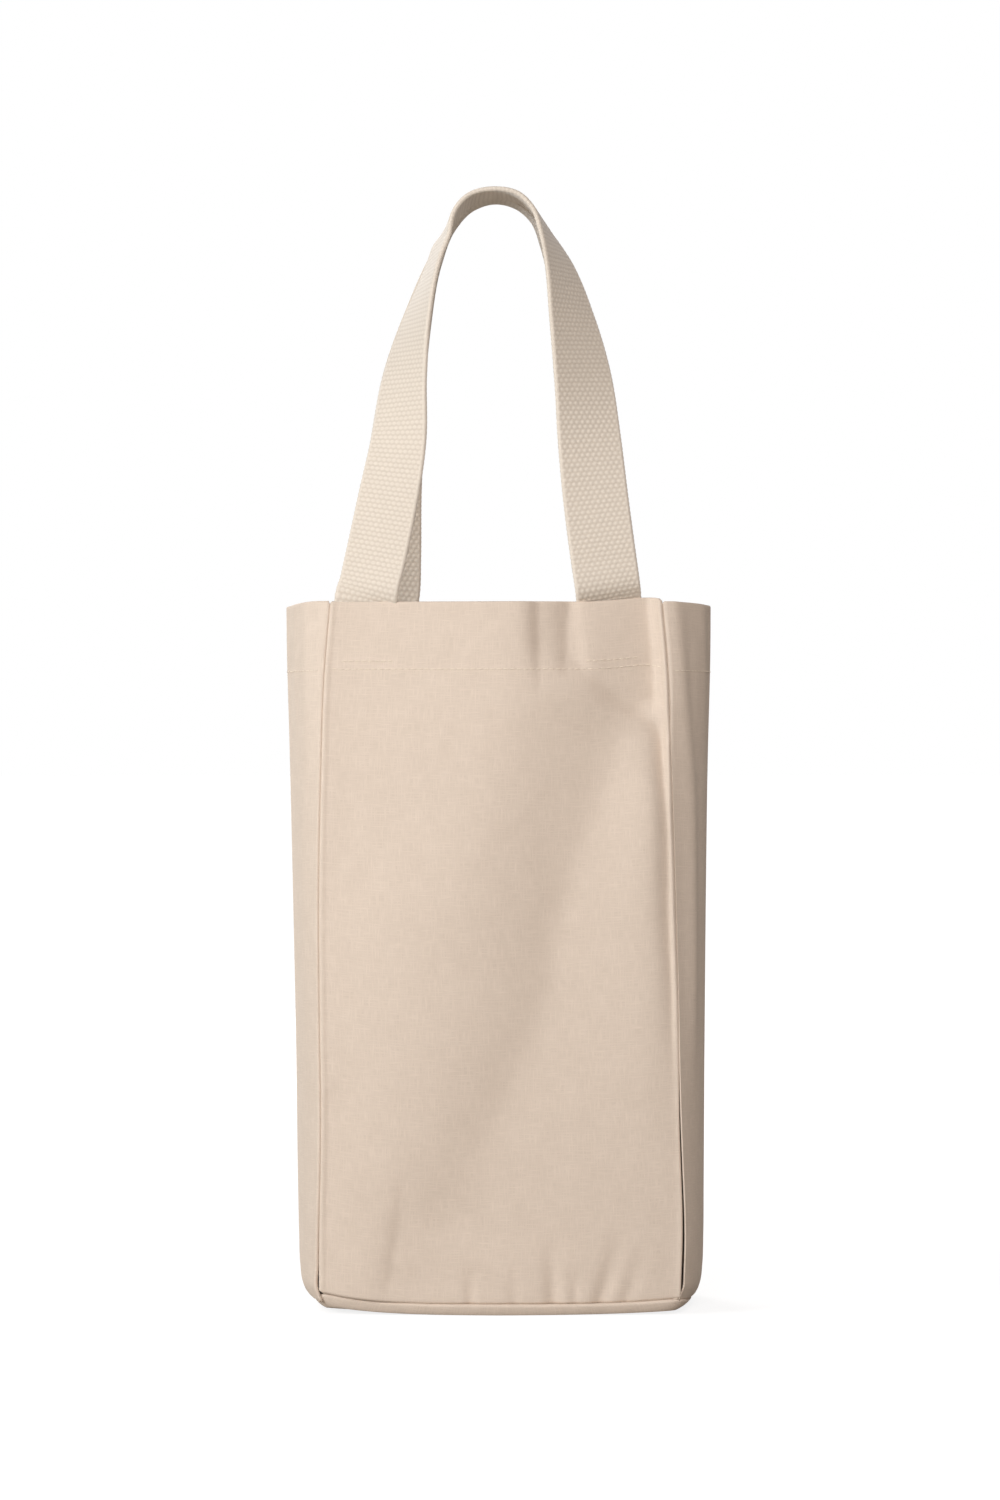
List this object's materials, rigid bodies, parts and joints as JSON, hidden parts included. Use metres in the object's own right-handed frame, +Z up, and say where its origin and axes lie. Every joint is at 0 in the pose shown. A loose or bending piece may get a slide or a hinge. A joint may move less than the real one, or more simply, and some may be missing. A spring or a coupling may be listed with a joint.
{
  "type": "bottle carrier",
  "caption": "Upright soft canvas carrier for bottles standing side by side, with bulging side gussets, an inner divider and long webbing handles sewn inside the hem.",
  "frame": {"origin": "middle of the underside, on the surface that the carrier stands on", "axes": "+X across the front panel to the right as seen in the picture, +Y from the front panel to the back, +Z up"},
  "size_m": [0.2026, 0.0956, 0.5552],
  "materials": {
    "canvas": "matt natural cotton canvas",
    "webbing": "ribbed natural cotton webbing",
    "thread": "natural cotton thread"
  },
  "bodies": {
    "bag": {"front_panel": "canvas", "back_panel": "canvas", "left_gusset": "canvas", "right_gusset": "canvas", "base_panel": "canvas", "divider": "canvas", "front_left_handle_end": "webbing", "front_right_handle_end": "webbing", "back_left_handle_end": "webbing", "back_right_handle_end": "webbing", "front_hem_stitching": "thread", "back_hem_stitching": "thread", "left_hem_stitching": "thread", "right_hem_stitching": "thread", "front_handle_tacks": "thread", "back_handle_tacks": "thread", "front_left_seam_thread": "thread", "front_right_seam_thread": "thread", "back_left_seam_thread": "thread", "back_right_seam_thread": "thread", "front_base_thread": "thread", "back_base_thread": "thread", "left_base_thread": "thread", "right_base_thread": "thread"},
    "front_handle": {"front_handle": "webbing"},
    "back_handle": {"back_handle": "webbing"}
  },
  "joints": [
    {"name": "front_handle_swing", "type": "hinge", "parent": "bag", "child": "front_handle", "pos_m": [0, -0.04695, 0.349], "axis": [1, 0, 0], "range_deg": [0, 175]},
    {"name": "back_handle_swing", "type": "hinge", "parent": "bag", "child": "back_handle", "pos_m": [0, 0.04695, 0.349], "axis": [-1, 0, 0], "range_deg": [0, 175]}
  ]
}
